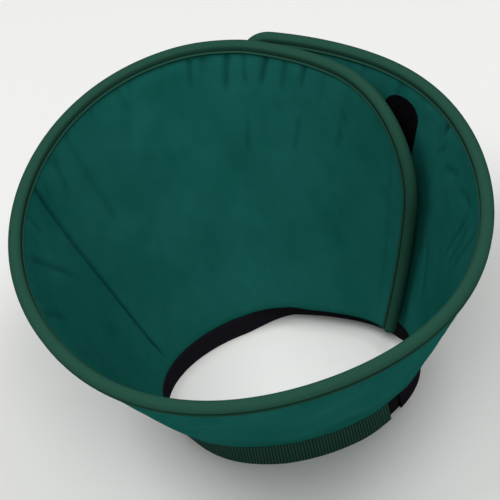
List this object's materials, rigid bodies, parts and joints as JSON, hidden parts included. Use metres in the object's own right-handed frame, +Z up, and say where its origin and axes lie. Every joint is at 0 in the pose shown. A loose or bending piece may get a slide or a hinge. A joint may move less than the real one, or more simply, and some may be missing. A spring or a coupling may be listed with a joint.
{
  "type": "soft recovery cone",
  "caption": "Padded fabric recovery cone with a bound mouth, overlapped closure, ribbed elastic neck band and adjustable neck strap.",
  "frame": {"origin": "middle of the cone's box, on the surface that the neck ring stands on", "axes": "+Z up the cone from its neck to its mouth; +Y towards the back of the wearer's neck, where the ends overlap; +X towards the wearer's left side"},
  "size_m": [0.2662, 0.2718, 0.1673],
  "materials": {
    "padded_panel": "smooth dark teal green woven polyester over thin foam",
    "binding_tape": "matt grey-green grosgrain tape",
    "ribbed_elastic": "dark green ribbed elastic",
    "strap_webbing": "black woven webbing",
    "closure_strip": "black hook and loop strip"
  },
  "bodies": {
    "root": {"cone_panel": "padded_panel", "rim_binding": "binding_tape", "neck_band": "ribbed_elastic", "neck_strap": "strap_webbing", "strap_short_end": "strap_webbing", "closure_hook_strip": "closure_strip", "closure_loop_strip": "closure_strip"}
  },
  "joints": []
}
